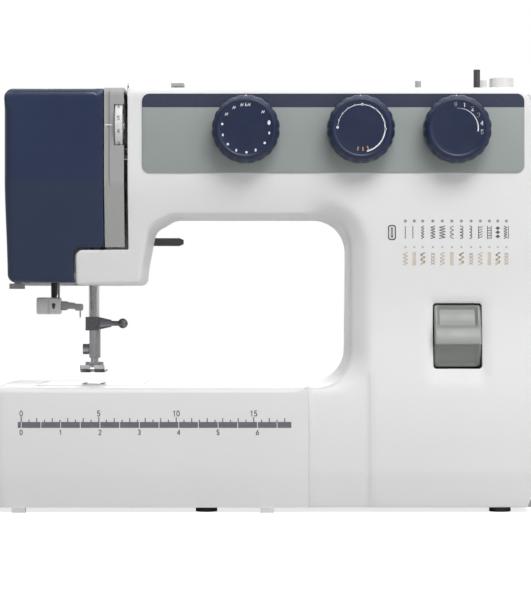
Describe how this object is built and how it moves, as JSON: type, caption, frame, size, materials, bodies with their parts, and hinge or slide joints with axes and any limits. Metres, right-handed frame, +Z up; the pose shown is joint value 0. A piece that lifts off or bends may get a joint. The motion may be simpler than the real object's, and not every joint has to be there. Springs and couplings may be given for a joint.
{
  "type": "sewing machine",
  "caption": "Free-arm zigzag sewing machine with extension table, three round dials, swing-open face cover, presser foot, needle, reverse lever and handwheel.",
  "frame": {"origin": "centre of the footprint, on the surface the machine stands on", "axes": "+X to the right along the bed towards the handwheel, +Y to the back, +Z up"},
  "size_m": [0.382, 0.1773, 0.291],
  "materials": {
    "white_plastic": "satin moulded",
    "navy_plastic": "satin moulded",
    "grey_plastic": "fine texture",
    "dark_plastic": "satin",
    "rubber": "matte",
    "steel": "brushed",
    "chrome": "polished",
    "cast_aluminium": "cast",
    "bronze": "turned",
    "glass": "clear",
    "spring_steel": "drawn wire"
  },
  "bodies": {
    "casing": {"base_plate": "grey_plastic", "rubber_feet": "rubber", "front_cover": "white_plastic", "rear_cover": "white_plastic", "side_cover": "white_plastic", "free_arm_shell": "white_plastic", "needle_plate": "steel", "control_panel": "grey_plastic", "thread_channel": "grey_plastic", "machine_frame": "cast_aluminium", "shaft_bushings": "bronze", "drive_motor": "dark_plastic", "drive_belt": "rubber", "timing_belt": "rubber", "power_inlet": "dark_plastic", "lamp_bulb": "glass", "lamp_socket": "white_plastic", "shuttle_race": "steel", "top_thread_guide": "grey_plastic", "winder_stop": "white_plastic", "cover_screws": "steel", "tension_discs": "steel", "bobbin_case": "steel"},
    "face_cover": {"face_cover": "navy_plastic"},
    "selector_dial": {"selector_dial": "navy_plastic"},
    "length_dial": {"length_dial": "navy_plastic"},
    "width_dial": {"width_dial": "navy_plastic"},
    "tension_dial": {"tension_dial": "white_plastic"},
    "reverse_lever": {"reverse_lever": "grey_plastic"},
    "needle_bar": {"needle_bar": "chrome", "needle_clamp": "steel", "needle": "chrome"},
    "needle_clamp_screw": {"needle_clamp_screw": "steel"},
    "take_up_lever": {"take_up_lever": "chrome"},
    "shuttle_hook": {"shuttle_hook": "steel"},
    "lower_shaft": {"lower_shaft": "steel"},
    "feed_dog": {"feed_dog": "steel"},
    "presser_lifter": {"presser_lifter": "dark_plastic"},
    "presser_bar": {"presser_bar": "chrome", "foot_holder": "chrome", "presser_spring": "spring_steel"},
    "foot_screw": {"foot_screw": "chrome"},
    "presser_foot": {"presser_foot": "chrome"},
    "threader": {"threader": "white_plastic"},
    "buttonhole_lever": {"buttonhole_lever": "grey_plastic"},
    "hook_cover": {"hook_cover": "white_plastic"},
    "extension_table": {"extension_table": "white_plastic", "table_feet": "white_plastic"},
    "handwheel": {"handwheel": "white_plastic", "upper_shaft": "steel"},
    "motor_pulley": {"motor_pulley": "steel"},
    "cam_stack": {"cam_stack": "white_plastic"},
    "winder_arm": {"winder_arm": "steel"},
    "winder_spindle": {"winder_spindle": "dark_plastic", "winder_wheel": "dark_plastic"},
    "spool_pin": {"spool_pin": "grey_plastic"},
    "carry_handle": {"carry_handle": "white_plastic"},
    "power_switch": {"power_switch": "dark_plastic"},
    "bobbin": {"bobbin": "chrome"}
  },
  "joints": [
    {"name": "face_cover_hinge", "type": "hinge", "parent": "casing", "child": "face_cover", "pos_m": [-0.1716, 0.0004, 0.21], "axis": [0, 0, 1], "range_deg": [-95, 0]},
    {"name": "selector_turn", "type": "hinge", "parent": "casing", "child": "selector_dial", "pos_m": [-0.0127, -0.08, 0.2479], "axis": [0, 1, 0], "continuous": true},
    {"name": "length_turn", "type": "hinge", "parent": "casing", "child": "length_dial", "pos_m": [0.0618, -0.08, 0.2479], "axis": [0, 1, 0], "range_deg": [-30, 240]},
    {"name": "width_turn", "type": "hinge", "parent": "casing", "child": "width_dial", "pos_m": [0.1241, -0.08, 0.2479], "axis": [0, 1, 0], "range_deg": [0, 110]},
    {"name": "tension_turn", "type": "hinge", "parent": "casing", "child": "tension_dial", "pos_m": [-0.0955, -0.056, 0.2514], "axis": [1, 0, 0], "range_deg": [-150, 150]},
    {"name": "reverse_press", "type": "hinge", "parent": "casing", "child": "reverse_lever", "pos_m": [0.1248, -0.046, 0.114], "axis": [1, 0, 0], "range_deg": [0, 16], "stiffness_Nm_per_rad": 0.6, "springref_deg": -20.05},
    {"name": "needle_stroke", "type": "slide", "parent": "casing", "child": "needle_bar", "axis": [0, 0, 1], "range_m": [-0.025, 0]},
    {"name": "clamp_screw_turn", "type": "hinge", "parent": "needle_bar", "child": "needle_clamp_screw", "pos_m": [-0.11, -0.005, 0.1216], "axis": [1, 0, 0], "range_deg": [0, 360]},
    {"name": "take_up_swing", "type": "hinge", "parent": "casing", "child": "take_up_lever", "pos_m": [-0.0909, 0.004, 0.238], "axis": [1, 0, 0], "range_deg": [0, 70]},
    {"name": "hook_swing", "type": "hinge", "parent": "casing", "child": "shuttle_hook", "pos_m": [-0.1165, 0.01, 0.052], "axis": [0, 1, 0], "range_deg": [-200, 0]},
    {"name": "feed_move", "type": "slide", "parent": "casing", "child": "feed_dog", "axis": [0, 1, 0], "range_m": [-0.0025, 0.0025]},
    {"name": "lifter_turn", "type": "hinge", "parent": "casing", "child": "presser_lifter", "pos_m": [-0.104, 0.04, 0.18], "axis": [0, 1, 0], "range_deg": [0, 50]},
    {"name": "presser_move", "type": "slide", "parent": "casing", "child": "presser_bar", "axis": [0, 0, 1], "range_m": [-0.0074, 0], "deforming": ["presser_spring"]},
    {"name": "foot_screw_turn", "type": "hinge", "parent": "presser_bar", "child": "foot_screw", "pos_m": [-0.12, 0.01, 0.104], "axis": [1, 0, 0], "range_deg": [0, 360]},
    {"name": "foot_tilt", "type": "hinge", "parent": "presser_bar", "child": "presser_foot", "pos_m": [-0.1165, 0.005, 0.0934], "axis": [-1, 0, 0], "range_deg": [0, 8]},
    {"name": "threader_pull", "type": "slide", "parent": "casing", "child": "threader", "axis": [0, 0, 1], "range_m": [-0.02, 0], "stiffness_N_per_m": 12, "springref_m": 0.02},
    {"name": "buttonhole_pull", "type": "slide", "parent": "casing", "child": "buttonhole_lever", "axis": [0, 0, 1], "range_m": [-0.025, 0]},
    {"name": "hook_cover_hinge", "type": "hinge", "parent": "casing", "child": "hook_cover", "pos_m": [-0.119, -0.0369, 0.0321], "axis": [1, 0, 0], "range_deg": [0, 85]},
    {"name": "table_slide", "type": "slide", "parent": "casing", "child": "extension_table", "axis": [1, 0, 0], "range_m": [-0.2, 0]},
    {"name": "handwheel_turn", "type": "hinge", "parent": "casing", "child": "handwheel", "pos_m": [0.18, -0.008, 0.236], "axis": [1, 0, 0], "continuous": true},
    {"name": "motor_turn", "type": "hinge", "parent": "casing", "child": "motor_pulley", "pos_m": [0.164, 0.032, 0.062], "axis": [1, 0, 0], "continuous": true},
    {"name": "lower_shaft_turn", "type": "hinge", "parent": "casing", "child": "lower_shaft", "pos_m": [0, 0.02, 0.06], "axis": [1, 0, 0], "continuous": true},
    {"name": "cam_turn", "type": "hinge", "parent": "casing", "child": "cam_stack", "pos_m": [0.02, -0.04, 0.22], "axis": [0, 0, 1], "continuous": true},
    {"name": "winder_engage", "type": "slide", "parent": "casing", "child": "winder_arm", "axis": [1, 0, 0], "range_m": [0, 0.004]},
    {"name": "winder_spin", "type": "hinge", "parent": "winder_arm", "child": "winder_spindle", "pos_m": [0.141, -0.03, 0.27], "axis": [0, 0, 1], "continuous": true},
    {"name": "spool_pin_pull", "type": "slide", "parent": "casing", "child": "spool_pin", "axis": [0, 0, 1], "range_m": [0, 0.045]},
    {"name": "handle_swing", "type": "hinge", "parent": "casing", "child": "carry_handle", "pos_m": [0.03, 0.05, 0.258], "axis": [1, 0, 0], "range_deg": [0, 160]},
    {"name": "switch_rock", "type": "hinge", "parent": "casing", "child": "power_switch", "pos_m": [0.173, 0.034, 0.061], "axis": [0, 1, 0], "range_deg": [-14, 0]},
    {"name": "bobbin_spin", "type": "hinge", "parent": "casing", "child": "bobbin", "pos_m": [-0.1165, -0.012, 0.052], "axis": [0, 1, 0], "continuous": true}
  ],
  "couplings": [
    {"joint": "take_up_swing", "follows": "needle_stroke", "rad_per_m": -48.868},
    {"joint": "hook_swing", "follows": "needle_stroke", "rad_per_m": 139.63},
    {"joint": "feed_move", "follows": "needle_stroke", "ratio": 0.1},
    {"joint": "lifter_turn", "follows": "presser_move", "rad_per_m": -117.9},
    {"joint": "motor_turn", "follows": "handwheel_turn", "ratio": 3.375},
    {"joint": "lower_shaft_turn", "follows": "handwheel_turn", "ratio": 1},
    {"joint": "cam_turn", "follows": "handwheel_turn", "ratio": 0.076923}
  ]
}
